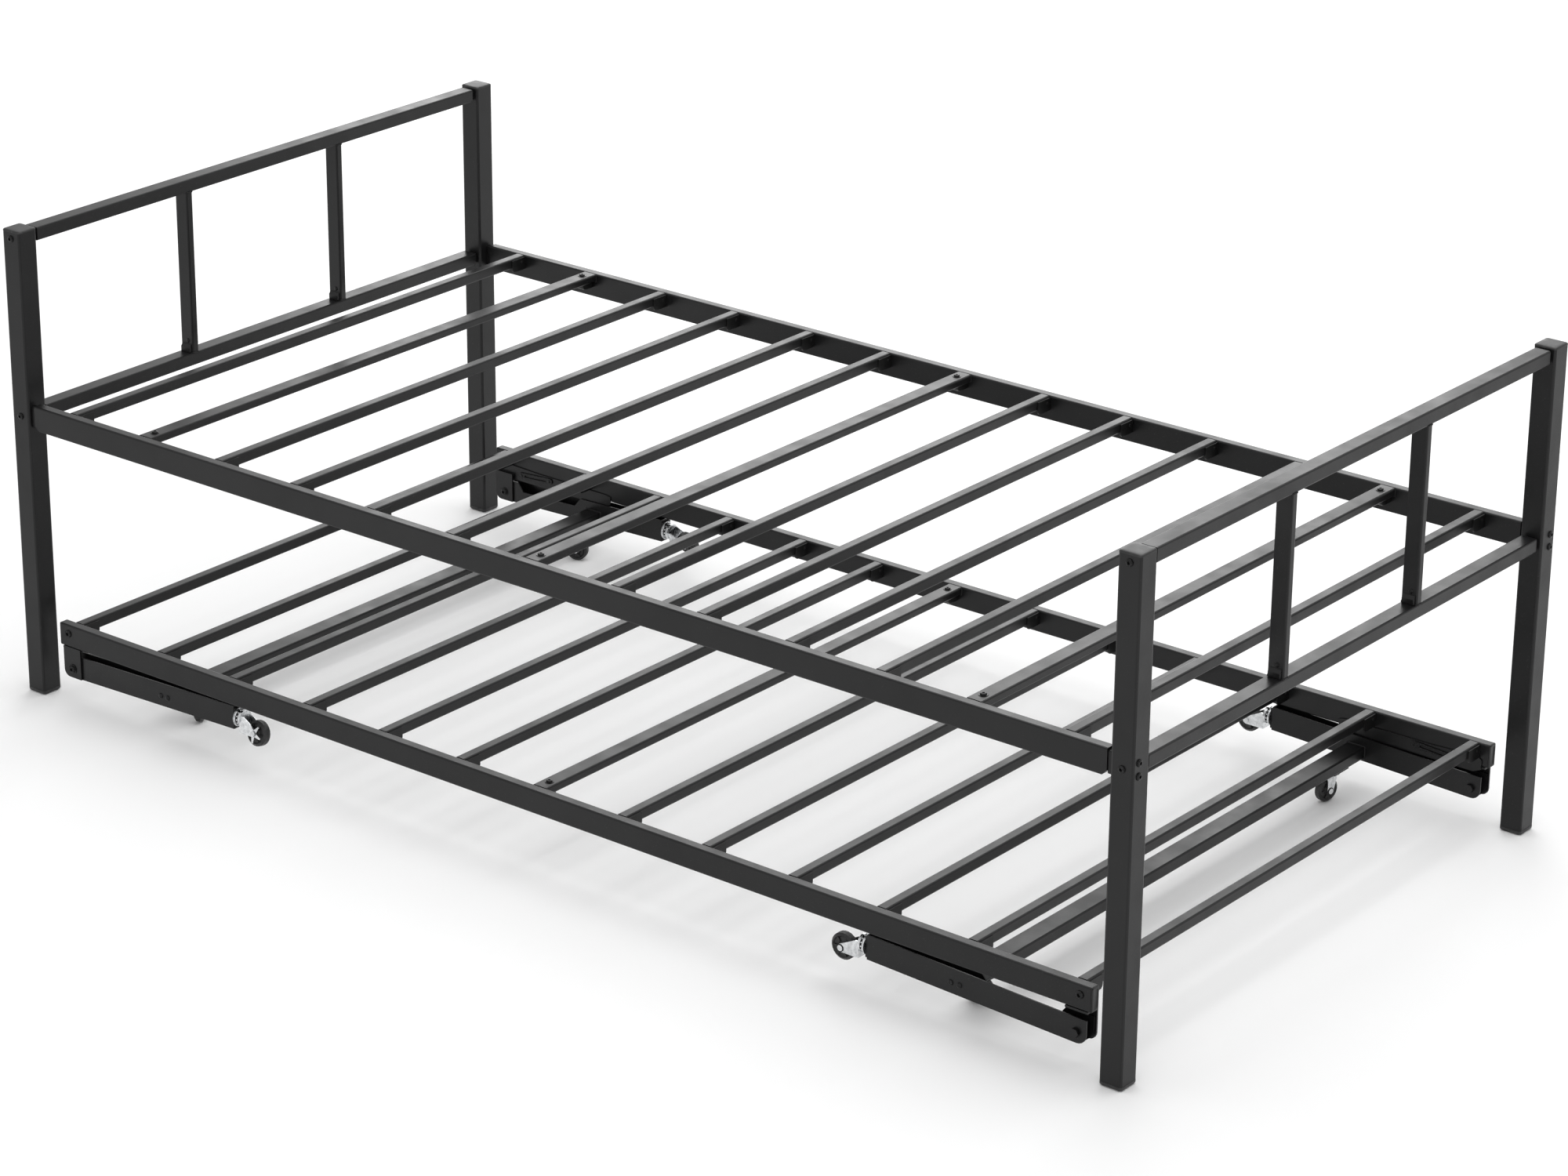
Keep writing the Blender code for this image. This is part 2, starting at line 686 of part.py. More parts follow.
def lift_basis(sign, turn):
    """Axes of a lift caster's mount: its trail, its axle and its stem."""
    stem = Vector((float(sign), 0.0, 0.0))
    down = Vector((0.0, 0.0, -1.0))
    trail = down * math.cos(turn) + stem.cross(down) * math.sin(turn)
    across = stem.cross(trail)
    return Matrix((trail, across, stem)).transposed().to_euler()


def build_casters():
    """Four lift casters on the arm tips, four floor casters underneath."""
    sources = {}
    for kind, spec in (("lift", LIFT_CASTER), ("floor", FLOOR_CASTER)):
        radius, width, drop, trail, race = spec
        heel = HEEL[kind]
        fork = fork_mesh(kind + "_fork_pattern", radius, width, drop, trail, race, heel, False)
        wheel = wheel_mesh(kind + "_wheel_pattern", radius, width)
        sources[kind] = (fork, wheel)
    radius, width, drop, trail, race = LIFT_CASTER
    fork = fork_mesh("braked_fork_pattern", radius, width, drop, trail, race, HEEL["lift"], True)
    sources["braked"] = (fork, sources["lift"][1])
    star = star_lever_mesh("star_lever_pattern", width)
    arm_y = {
        "head_near": ARM_NEAR_Y,
        "head_far": ARM_FAR_Y,
        "foot_near": -ARM_FAR_Y,
        "foot_far": -ARM_NEAR_Y,
    }
    for end, sign in (("head", -1), ("foot", 1)):
        for side, sy in (("near", -1), ("far", 1)):
            place = end + "_" + side
            tip = sign * (PIVOT_X - ARM_LENGTH - TIP_PLATE)
            turn = math.radians(LIFT_CASTER_TURN[place])
            mount = empty("lift_mount_" + place, (tip, arm_y[place], LIFT_STEM_Z), lift_basis(sign, turn))
            braked = place in BRAKED
            source = sources["braked" if braked else "lift"]
            hang_caster("lift_caster_" + place, LIFT_CASTER, mount, source)
            if braked:
                lever = copy_mesh("brake_lever_" + place, star)
                lever.parent = mount
                lever.location = (trail, 0.0, -drop)
                finish(lever, "bright_zinc", 35)
            x = sign * (PIVOT_X - CROSSBAR_X)
            turn = math.radians(FLOOR_CASTER_TURN[place])
            mount = empty("floor_mount_" + place, (x, sy * FLOOR_CASTER_Y, FLOOR_MOUNT_Z), (0.0, 0.0, turn))
            hang_caster("floor_caster_" + place, FLOOR_CASTER, mount, sources["floor"])
    patterns = {obj for pair in sources.values() for obj in pair} | {star}
    for obj in sorted(patterns, key=lambda o: o.name):
        bpy.data.objects.remove(obj, do_unlink=True)


def main():
    clear_scene()
    build_bed()
    build_trundle_deck()
    build_legs()


if __name__ == "__main__":
    main()
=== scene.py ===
import json
import logging
import math
from dataclasses import dataclass, field
from enum import Enum
from typing import Iterable, Optional, Sequence

import bmesh
import bpy
from mathutils import Matrix, Vector


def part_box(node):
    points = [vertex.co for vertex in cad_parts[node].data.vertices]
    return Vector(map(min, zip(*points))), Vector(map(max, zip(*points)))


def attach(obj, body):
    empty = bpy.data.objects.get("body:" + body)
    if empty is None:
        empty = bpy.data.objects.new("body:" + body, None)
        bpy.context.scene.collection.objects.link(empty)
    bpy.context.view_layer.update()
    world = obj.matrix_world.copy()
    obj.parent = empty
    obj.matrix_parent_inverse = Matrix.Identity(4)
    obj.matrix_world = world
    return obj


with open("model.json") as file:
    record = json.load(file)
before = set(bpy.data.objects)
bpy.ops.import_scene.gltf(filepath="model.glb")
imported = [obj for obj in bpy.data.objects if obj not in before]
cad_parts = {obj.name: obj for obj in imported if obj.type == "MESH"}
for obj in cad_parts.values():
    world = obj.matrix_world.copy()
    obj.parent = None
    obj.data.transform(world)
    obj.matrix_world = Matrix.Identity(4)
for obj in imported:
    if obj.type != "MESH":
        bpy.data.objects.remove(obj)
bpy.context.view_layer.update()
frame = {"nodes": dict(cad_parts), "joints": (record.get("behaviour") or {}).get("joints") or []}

LOG = logging.getLogger("trundle_bed")
Outline = list[tuple[float, float]]
Colour = tuple[float, float, float]
Range = tuple[float, float]
Socket = bpy.types.NodeSocket
Material = bpy.types.Material
SEAT = 0.0002  # how far a piece sinks into what it stands on


class Slot(Enum):
    """The record's material slots."""

    POWDER_COAT = "powder_coat"
    BRIGHT_ZINC = "bright_zinc"
    WHEEL_PLASTIC = "wheel_plastic"


class End(Enum):
    """An end of the bed, with the sign of its X."""

    HEAD = -1
    FOOT = 1


class Side(Enum):
    """A long side of the bed, with the sign of its Y."""

    NEAR = -1
    FAR = 1


CORNERS = [(end, side) for end in End for side in Side]


def place_name(end: End, side: Side) -> str:
    """The words that name a corner in a node's or a body's name."""
    return f"{end.name.lower()}_{side.name.lower()}"


@dataclass(frozen=True)
class Box:
    """The box round a CAD node."""

    low: Vector
    high: Vector

    @classmethod
    def of(cls, node: str) -> "Box":
        """The box of the node with this name."""
        return cls(*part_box(node))

    @property
    def centre(self) -> Vector:
        """The box's middle."""
        return (self.low + self.high) / 2

    def face_x(self, end: End) -> float:
        """The X of the face that looks out at an end."""
        return self.low.x if end is End.HEAD else self.high.x

    def face_y(self, side: Side) -> float:
        """The Y of the face that looks out at a side."""
        return self.low.y if side is Side.NEAR else self.high.y


# Finishes


class Graph:
    """A material's node tree, with short calls for the nodes that finishes share."""

    def __init__(self, name: str) -> None:
        """Start a material that has one Principled shader.

        Args:
            name: the material's name.
        """
        self.material = bpy.data.materials.new(name)
        self.material.use_nodes = True
        self.tree = self.material.node_tree
        self.shader = self.tree.nodes["Principled BSDF"]
        self.place = self.add("ShaderNodeTexCoord").outputs["Object"]

    def add(self, kind: str) -> bpy.types.Node:
        """Add a node of a kind."""
        return self.tree.nodes.new(kind)

    def link(self, source: Socket, target: Socket) -> None:
        """Join an output to an input."""
        self.tree.links.new(source, target)

    def stretched(self, scale: Sequence[float]) -> Socket:
        """Object coordinates scaled by a different amount along each axis."""
        mapping = self.add("ShaderNodeMapping")
        mapping.inputs["Scale"].default_value = scale
        self.link(self.place, mapping.inputs["Vector"])
        return mapping.outputs["Vector"]

    def noise(
        self, scale: float, detail: float = 2.0, place: Optional[Socket] = None
    ) -> Socket:
        """Fractal noise over the object's own coordinates.

        Args:
            scale: waves to the metre.
            detail: octaves.
            place: coordinates to use in place of the object's.

        Returns:
            The noise value, from 0 to 1.
        """
        node = self.add("ShaderNodeTexNoise")
        node.inputs["Scale"].default_value = scale
        node.inputs["Detail"].default_value = detail
        self.link(place or self.place, node.inputs["Vector"])
        return node.outputs["Fac"]

    def span(self, value: Socket, source: Range, target: Range) -> Socket:
        """Map a value's range to another range, clamped.

        Args:
            value: the output to map.
            source: the range it is read over.
            target: the range it comes out in.

        Returns:
            The mapped value.
        """
        node = self.add("ShaderNodeMapRange")
        self.link(value, node.inputs["Value"])
        node.inputs["From Min"].default_value, node.inputs["From Max"].default_value = source
        node.inputs["To Min"].default_value, node.inputs["To Max"].default_value = target
        return node.outputs["Result"]

    def blend(self, amount: Socket, low: Sequence[float], high: Sequence[float]) -> Socket:
        """A colour between two, by an amount."""
        node = self.add("ShaderNodeValToRGB")
        node.color_ramp.elements[0].color = (*low, 1.0)
        node.color_ramp.elements[1].color = (*high, 1.0)
        self.link(amount, node.inputs["Fac"])
        return node.outputs["Color"]

    def bumps(self, layers: Iterable[tuple[Socket, float, float]]) -> None:
        """Chain bump layers into the shader's normal.

        Args:
            layers: height, strength and distance in metres of each layer.
        """
        normal = None
        for height, strength, distance in layers:
            node = self.add("ShaderNodeBump")
            node.inputs["Strength"].default_value = strength
            node.inputs["Distance"].default_value = distance
            self.link(height, node.inputs["Height"])
            if normal is not None:
                self.link(normal, node.inputs["Normal"])
            normal = node.outputs["Normal"]
        self.link(normal, self.shader.inputs["Normal"])


@dataclass(frozen=True)
class PowderCoat:
    """Satin black powder coat: fine orange peel, cloudy sheen and faint dust."""

    name: str = "satin_black_powder_coat"
    dark: Colour = (0.0045, 0.0045, 0.0047)
    light: Colour = (0.0085, 0.0085, 0.0088)
    dust: Colour = (0.045, 0.045, 0.044)
    roughness: Range = (0.29, 0.41)
    specular: float = 0.30
    peel: float = 0.16

    def material(self) -> Material:
        """Build the coat's node tree."""
        graph = Graph(self.name)
        graph.shader.inputs["Specular IOR Level"].default_value = self.specular
        cloud = graph.span(graph.noise(7.0, 3.0), (0.3, 0.7), (0.0, 1.0))
        tone = graph.blend(cloud, self.dark, self.light)
        fleck = graph.span(graph.noise(520.0, 1.0), (0.70, 0.78), (0.0, 0.5))
        mix = graph.add("ShaderNodeMix")
        mix.data_type = "RGBA"
        graph.link(fleck, mix.inputs["Factor"])
        graph.link(tone, mix.inputs["A"])
        mix.inputs["B"].default_value = (*self.dust, 1.0)
        graph.link(mix.outputs["Result"], graph.shader.inputs["Base Color"])
        sheen = graph.span(graph.noise(26.0, 4.0), (0.3, 0.7), self.roughness)
        graph.link(sheen, graph.shader.inputs["Roughness"])
        graph.bumps(
            [
                (graph.noise(240.0, 2.0), self.peel * 0.5, 0.0004),
                (graph.noise(1100.0, 2.0), self.peel, 0.00012),
            ]
        )
        return graph.material


@dataclass(frozen=True)
class BrightZinc:
    """Bright zinc plate: a clouded mirror with drawing lines along its Z."""

    name: str = "bright_zinc_plate"
    dull: Colour = (0.50, 0.51, 0.52)
    bright: Colour = (0.82, 0.83, 0.84)
    roughness: Range = (0.16, 0.34)

    def material(self) -> Material:
        """Build the plating's node tree."""
        graph = Graph(self.name)
        graph.shader.inputs["Metallic"].default_value = 1.0
        cloud = graph.span(graph.noise(160.0, 4.0), (0.3, 0.7), (0.0, 1.0))
        graph.link(graph.blend(cloud, self.dull, self.bright), graph.shader.inputs["Base Color"])
        lines = graph.noise(900.0, 3.0, graph.stretched((1.0, 1.0, 0.08)))
        graph.link(graph.span(lines, (0.3, 0.7), self.roughness), graph.shader.inputs["Roughness"])
        graph.bumps([(lines, 0.08, 0.0001), (graph.noise(300.0, 2.0), 0.10, 0.0002)])
        return graph.material


@dataclass(frozen=True)
class MouldedPlastic:
    """Black moulded plastic with a fine spark-eroded grain and light scuffs."""

    name: str = "black_moulded_plastic"
    dark: Colour = (0.0090, 0.0090, 0.0092)
    scuffed: Colour = (0.030, 0.030, 0.030)
    roughness: Range = (0.38, 0.52)
    grain: float = 700.0

    def material(self) -> Material:
        """Build the plastic's node tree."""
        graph = Graph(self.name)
        scuff = graph.span(graph.noise(90.0, 5.0), (0.52, 0.72), (0.0, 1.0))
        graph.link(graph.blend(scuff, self.dark, self.scuffed), graph.shader.inputs["Base Color"])
        sheen = graph.span(graph.noise(45.0, 3.0), (0.3, 0.7), self.roughness)
        graph.link(sheen, graph.shader.inputs["Roughness"])
        graph.bumps([(graph.noise(self.grain, 2.0), 0.18, 0.00012)])
        return graph.material


@dataclass(frozen=True)
class BlackOxideAndShade:
    """Blackened steel of bolt heads, part metallic, with worn high spots. Its base is darker than
    the coat as painted shade, standing for the shade in the recessed holes at rivets and bolts.
    """

    name: str = "black_oxide_steel"
    # Painted shade: kept darker than the coat so that bolt and rivet heads read as shaded
    # recesses.
    dark: Colour = (0.004, 0.004, 0.004)
    worn: Colour = (0.030, 0.030, 0.031)
    roughness: Range = (0.28, 0.42)

    def material(self) -> Material:
        """Build the node tree of the blackened steel and its painted shade."""
        graph = Graph(self.name)
        graph.shader.inputs["Metallic"].default_value = 0.55
        wear = graph.span(graph.noise(420.0, 4.0), (0.48, 0.70), (0.0, 1.0))
        graph.link(graph.blend(wear, self.dark, self.worn), graph.shader.inputs["Base Color"])
        sheen = graph.span(graph.noise(130.0, 3.0), (0.3, 0.7), self.roughness)
        graph.link(sheen, graph.shader.inputs["Roughness"])
        graph.bumps([(graph.noise(800.0, 2.0), 0.12, 0.0001)])
        return graph.material


@dataclass(frozen=True)
class PalePaper:
    """The seamless pale floor."""

    name: str = "pale_paper"
    low: Colour = (0.95, 0.95, 0.95)
    high: Colour = (0.97, 0.97, 0.97)

    def material(self) -> Material:
        """Build the paper's node tree."""
        graph = Graph(self.name)
        graph.shader.inputs["Roughness"].default_value = 0.9
        graph.shader.inputs["Specular IOR Level"].default_value = 0.1
        tone = graph.blend(graph.noise(3.0, 3.0), self.low, self.high)
        graph.link(tone, graph.shader.inputs["Base Color"])
        return graph.material


@dataclass
class Finishes:
    """Every finish of the object, built once."""

    coat: Material = field(default_factory=lambda: PowderCoat().material())
    # Painted shade: this coat is darker than the frame's. Part of that is the real dark of welded
    # joints, and part is painted shade for the shaded stretch at each slat end.
    weld: Material = field(
        default_factory=lambda: PowderCoat(
            "coated_weld", dark=(0.003,) * 3, light=(0.006,) * 3, roughness=(0.36, 0.50), peel=0.3
        ).material()
    )
    zinc: Material = field(default_factory=lambda: BrightZinc().material())
    plastic: Material = field(default_factory=lambda: MouldedPlastic().material())
    # Blackened steel, darkened further as painted shade for recessed bolt and rivet heads.
    oxide_and_shade: Material = field(default_factory=lambda: BlackOxideAndShade().material())

    def dress_node(self, node: str, material: Material) -> None:
        """Put a finish on a CAD node.

        Args:
            node: the node's name.
            material: its finish.
        """
        obj = frame["nodes"][node]
        obj.data.materials.clear()
        obj.data.materials.append(material)


# Mesh workshop


def circle(radius: float, sides: int) -> Outline:
    """Points of a circle, anticlockwise."""
    step = 2 * math.pi / sides
    return [(radius * math.cos(i * step), radius * math.sin(i * step)) for i in range(sides)]


def hexagon(across: float, sides: int) -> Outline:
    """A hexagon's outline sampled at the angles of a circle with as many sides.

    Args:
        across: half the distance across its flats.
        sides: how many points, a multiple of six.

    Returns:
        The outline, anticlockwise.
    """
    points = []
    for i in range(sides):
        angle = 2 * math.pi * i / sides
        off = (angle + math.pi / 6) % (math.pi / 3) - math.pi / 6
        reach = across / math.cos(off)
        points.append((reach * math.cos(angle), reach * math.sin(angle)))
    return points


def rounded(width: float, height: float, radius: float, steps: int = 5) -> Outline:
    """A rounded rectangle's outline, anticlockwise.

    Args:
        width: its size along the first axis.
        height: its size along the second axis.
        radius: of its corners.
        steps: straight pieces to a corner.

    Returns:
        Four corners of steps + 1 points each.
    """
    points = []
    for sx, sy, start in ((1, 1, 0), (-1, 1, 90), (-1, -1, 180), (1, -1, 270)):
        for step in range(steps + 1):
            angle = math.radians(start + 90 * step / steps)
            points.append(
                (
                    sx * (width / 2 - radius) + radius * math.cos(angle),
                    sy * (height / 2 - radius) + radius * math.sin(angle),
                )
            )
    return points


def facing(axis: Sequence[float], at: Sequence[float], turn: float = 0.0) -> Matrix:
    """A placement whose local Z points along an axis, and local Y up if it can.

    Args:
        axis: the direction for local Z.
        at: the place of the local origin.
        turn: radians about the local Z.

    Returns:
        The placement's matrix.
    """
    aimed = Vector(axis).to_track_quat("Z", "Y").to_matrix().to_4x4()
    return Matrix.Translation(Vector(at)) @ aimed @ Matrix.Rotation(turn, 4, "Z")


class Maker:
    """Collects skins into one mesh, then makes them one visible piece."""

    BEAD_STEP = 0.0008
    BEAD_SIDES = 7
    BEAD_SKEW = Vector((0.31, 0.52, 0.79))
    BEAD_RIPPLE = 0.16
    BEAD_WAVE = 0.0021
    BEAD_TAPER = 0.55

    def __init__(self, name: str) -> None:
        """Start an empty piece.

        Args:
            name: the piece's name.
        """
        self.name = name
        self.work = bmesh.new()

    def skin(self, rings: Sequence[Sequence[bmesh.types.BMVert]], closed: bool = True) -> None:
        """Join rings of equal count by faces.

        Args:
            rings: the vertices of each ring.
            closed: whether the first and the last ring are closed by a face.
        """
        for low, high in zip(rings, rings[1:]):
            for i in range(len(low)):
                j = (i + 1) % len(low)
                self.work.faces.new((low[i], low[j], high[j], high[i]))
        if closed:
            self.work.faces.new(list(reversed(rings[0])))
            self.work.faces.new(rings[-1])

    def stack(
        self, layers: Sequence[tuple[Outline, float]], place: Matrix, closed: bool = True
    ) -> None:
        """Skin a stack of outlines of equal count along local Z.

        Args:
            layers: each outline and its height.
            place: where the stack stands.
            closed: whether the first and the last outline are closed by a face.
        """
        rings = [
            [self.work.verts.new(place @ Vector((x, y, height))) for x, y in outline]
            for outline, height in layers
        ]
        self.skin(rings, closed)

    def tube(self, layers: Sequence[tuple[Outline, float]], place: Matrix) -> None:
        """Skin a closed cycle of outlines, such as a ring or a washer."""
        self.stack([*layers, layers[0]], place, False)

    def bead(self, path: Sequence[Vector], radius: float) -> None:
        """Lay a rippled weld bead along a path.

        Args:
            path: its corners, in order.
            radius: of the bead.
        """
        points: list[Vector] = []
        for start, end in zip(path, path[1:]):
            count = max(1, round((end - start).length / self.BEAD_STEP))
            points += [start.lerp(end, i / count) for i in range(count)]
        points.append(path[-1])
        rings = []
        along = 0.0
        for i, point in enumerate(points):
            ahead = points[min(i + 1, len(points) - 1)] - points[max(i - 1, 0)]
            across = ahead.cross(self.BEAD_SKEW).normalized()
            other = ahead.cross(across).normalized()
            if i:
                along += (point - points[i - 1]).length
            taper = self.BEAD_TAPER if i in (0, len(points) - 1) else 1.0
            wave = self.BEAD_RIPPLE * math.sin(2 * math.pi * along / self.BEAD_WAVE)
            outline = circle(radius * taper * (1 + wave), self.BEAD_SIDES)
            rings.append([self.work.verts.new(point + across * a + other * b) for a, b in outline])
        self.skin(rings)

    def finish(
        self,
        body: str,
        material: Material,
        sharp: float = 35.0,
        bevel: float = 0.0,
    ) -> None:
        """Make the collected skins a piece that rides on a body.

        Args:
            body: the CAD body that carries it.
            material: its finish.
            sharp: degrees above which an edge stays sharp.
            bevel: width of a bevel on its edges, or 0.
        """
        bmesh.ops.recalc_face_normals(self.work, faces=self.work.faces)
        mesh = bpy.data.meshes.new(self.name)
        self.work.to_mesh(mesh)
        self.work.free()
        mesh.materials.append(material)
        mesh.shade_smooth()
        mesh.set_sharp_from_angle(angle=math.radians(sharp))
        obj = bpy.data.objects.new(self.name, mesh)
        bpy.context.scene.collection.objects.link(obj)
        if bevel:
            modifier = obj.modifiers.new("softened_edges", "BEVEL")
            modifier.width = bevel
            modifier.segments = 3
            modifier.limit_method = "ANGLE"
            modifier.angle_limit = math.radians(40)
        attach(obj, body)
        LOG.info("%s rides on %s", self.name, body)


@dataclass(frozen=True)
class SocketBolt:
    """A domed bolt head with a hexagon socket."""

    radius: float = 0.0052
    height: float = 0.0026
    socket: float = 0.0021
    sides: int = 24

    def build(self, maker: Maker, place: Matrix) -> None:
        """Add the head, standing on the local XY plane.

        Args:
            maker: the piece it becomes part of.
            place: where it stands, local Z outward.
        """
        r, h = self.radius, self.height
        rim = [(0.90, -0.15), (1.0, -0.10), (1.0, 0.34)]
        profile = [*rim, (0.95, 0.60), (0.84, 0.82), (0.68, 0.95), (0.54, 1.0)]
        layers = [(circle(r * a, self.sides), h * b) for a, b in profile]
        layers.append((hexagon(self.socket, self.sides), h * 0.96))
        layers.append((hexagon(self.socket * 0.97, self.sides), h * 0.20))
        maker.stack(layers, place)


@dataclass(frozen=True)
class Rivet:
    """A plain rivet head: a low dome with a rolled rim."""

    radius: float = 0.0030
    height: float = 0.0012
    sides: int = 20

    def build(self, maker: Maker, place: Matrix) -> None:
        """Add the rivet head, standing on the local XY plane."""
        r, h = self.radius, self.height
        profile = [(0.94, -0.2), (1.0, 0.0), (0.98, 0.35), (0.84, 0.72), (0.56, 0.94), (0.22, 1.0)]
        maker.stack([(circle(r * a, self.sides), h * b) for a, b in profile], place)


@dataclass(frozen=True)
class Washer:
    """A flat washer with softened rims."""

    outer: float = 0.0080
    inner: float = 0.0044
    thick: float = 0.0010
    sides: int = 28

    def build(self, maker: Maker, place: Matrix) -> None:
        """Add the washer, standing on the local XY plane."""
        t, o, i = self.thick, self.outer, self.inner
        soft = t * 0.25
        layers = [
            (circle(i, self.sides), 0.0),
            (circle(o - soft, self.sides), 0.0),
            (circle(o, self.sides), soft),
            (circle(o, self.sides), t - soft),
            (circle(o - soft, self.sides), t),
            (circle(i, self.sides), t),
        ]
        maker.tube(layers, place)


# Bed frame


@dataclass
class Posts:
    """The four posts: top caps, foot glides and the bolts in their faces."""

    finishes: Finishes
    cap_side: float = 0.0346
    cap_steps: tuple[tuple[float, float, float], ...] = (
        (0.0010, -0.0030, 0.00340), (0.0000, -0.0027, 0.00380), (0.0000, -0.0012, 0.00380),
        (0.0005, -0.0004, 0.00360), (0.0014, 0.00030, 0.00324), (0.0030, 0.00054, 0.00260),
        (0.0075, 0.00060, 0.00120),
    )
    glide_steps: tuple[tuple[float, float, float], ...] = (
        (0.0050, 0.0000, 0.0038), (0.0026, 0.0002, 0.0038), (0.0010, 0.0010, 0.0038),
        (0.0001, 0.0024, 0.0038), (0.0000, 0.0060, 0.0038), (0.0008, 0.0062, 0.0038),
    )
    bolt: SocketBolt = SocketBolt()
    panel_bolt_heights: tuple[float, float] = (0.4375, 0.7075)
    rail_bolt_heights: tuple[float, float] = (0.4285, 0.4465)

    def build(self) -> None:
        """Build and dress all four corners."""
        for end, side in CORNERS:
            name = place_name(end, side)
            node = f"post_{name}"
            box = Box.of(node)
            self.finishes.dress_node(node, self.finishes.coat)
            self.build_end(f"post_cap_{name}", box, box.high.z, self.cap_steps)
            self.build_end(f"foot_glide_{name}", box, box.low.z, self.glide_steps)
            self.build_bolts(name, end, side, box)

    def build_end(
        self, name: str, box: Box, z: float, steps: Sequence[tuple[float, float, float]]
    ) -> None:
        """Build the plastic cap or glide that closes an end of a post.

        Args:
            name: the piece's name.
            box: the post's box.
            z: height of the post's end.
            steps: inset, height above the post's end and corner radius of each step.
        """
        maker = Maker(name)
        side = self.cap_side
        layers = [(rounded(side - 2 * i, side - 2 * i, radius), rise) for i, rise, radius in steps]
        maker.stack(layers, Matrix.Translation((box.centre.x, box.centre.y, z)))
        maker.finish("bed_frame", self.finishes.plastic)

    def build_bolts(self, name: str, end: End, side: Side, box: Box) -> None:
        """Build the bolts of a post's two outer faces.

        Args:
            name: the corner's words.
            end: the post's end of the bed.
            side: the post's side of the bed.
            box: the post's box.
        """
        outer_y, rail_y = box.face_y(side), Box.of(f"bed_rail_{side.name.lower()}").centre.y
        for index, z in enumerate(self.panel_bolt_heights):
            maker = Maker(f"panel_bolt_{name}_{index + 1}")
            at = (box.centre.x, outer_y, z)
            self.bolt.build(maker, facing((0, side.value, 0), at, 0.2 * index))
            maker.finish("bed_frame", self.finishes.oxide_and_shade)
        for index, z in enumerate(self.rail_bolt_heights):
            maker = Maker(f"rail_bolt_{name}_{index + 1}")
            at = (box.face_x(end), rail_y, z)
            self.bolt.build(maker, facing((end.value, 0, 0), at, 0.4 * index))
            maker.finish("bed_frame", self.finishes.oxide_and_shade)


@dataclass
class Panels:
    """The headboard and footboard panels: bead welds, baluster tabs, and screws whose dark heads
    are painted shade for the holes above the tabs.
    """

    finishes: Finishes
    baluster_y: float = 0.160
    baluster_depth: float = 0.0246
    baluster_width: float = 0.0120
    lower_top: float = 0.4470
    upper_bottom: float = 0.6975
    bead: float = 0.0013
    tab_height: float = 0.0125
    tab_thick: float = 0.0042
    tab_width: float = 0.0185
    tab_slope: float = 0.62
    # Painted shade: a dark screw head stands for the shaded hole above each tab.
    screw: Rivet = Rivet(0.0036, 0.0013)
    screw_above: float = 0.0052
    screw_off: float = 0.0020

    def build(self) -> None:
        """Build and dress both panels."""
        for end, node in ((End.HEAD, "headboard_panel"), (End.FOOT, "footboard_panel")):
            self.finishes.dress_node(node, self.finishes.coat)
            x = Box.of(node).centre.x
            self.build_welds(end, x)
            for side in Side:
                self.build_tab(end, side, x)

    def build_welds(self, end: End, x: float) -> None:
        """Lay the beads round both ends of both balusters.

        Args:
            end: which panel.
            x: the panel's plane.
        """
        maker = Maker(f"{end.name.lower()}_panel_weld_beads")
        outline = rounded(self.baluster_depth, self.baluster_width, 0.0024, 2)
        for side in Side:
            for z in (self.lower_top, self.upper_bottom):
                y = side.value * self.baluster_y
                path = [Vector((x + a, y + b, z)) for a, b in outline]
                maker.bead([*path, path[0]], self.bead)
        maker.finish("bed_frame", self.finishes.weld, 60)

    def build_tab(self, end: End, side: Side, x: float) -> None:
        """Build the sloped locating tab at a baluster's foot, and the dark screw head above it,
        which stands as painted shade for the shaded hole there.

        Args:
            end: which panel.
            side: which baluster.
            x: the panel's plane.
        """
        name = place_name(end, side)
        y = side.value * self.baluster_y - self.baluster_width / 2
        profile = [
            (SEAT, 0.0), (-self.tab_thick, 0.0),
            (-self.tab_thick, self.tab_slope * self.tab_height), (-0.0008, self.tab_height),
            (SEAT, self.tab_height),
        ]
        tab = Maker(f"baluster_tab_{name}")
        corner = (x - self.tab_width / 2, y, self.lower_top + 0.0003)
        tab.stack([(profile, 0.0), (profile, self.tab_width)], facing((1, 0, 0), corner))
        tab.finish("bed_frame", self.finishes.coat, 35, 0.0004)
        # Painted shade: the dark screw head stands for the shaded hole above the tab.
        screw = Maker(f"baluster_screw_{name}")
        above = self.lower_top + self.tab_height + self.screw_above
        self.screw.build(screw, facing((0, -1, 0), (x + self.screw_off, y, above)))
        screw.finish("bed_frame", self.finishes.oxide_and_shade)


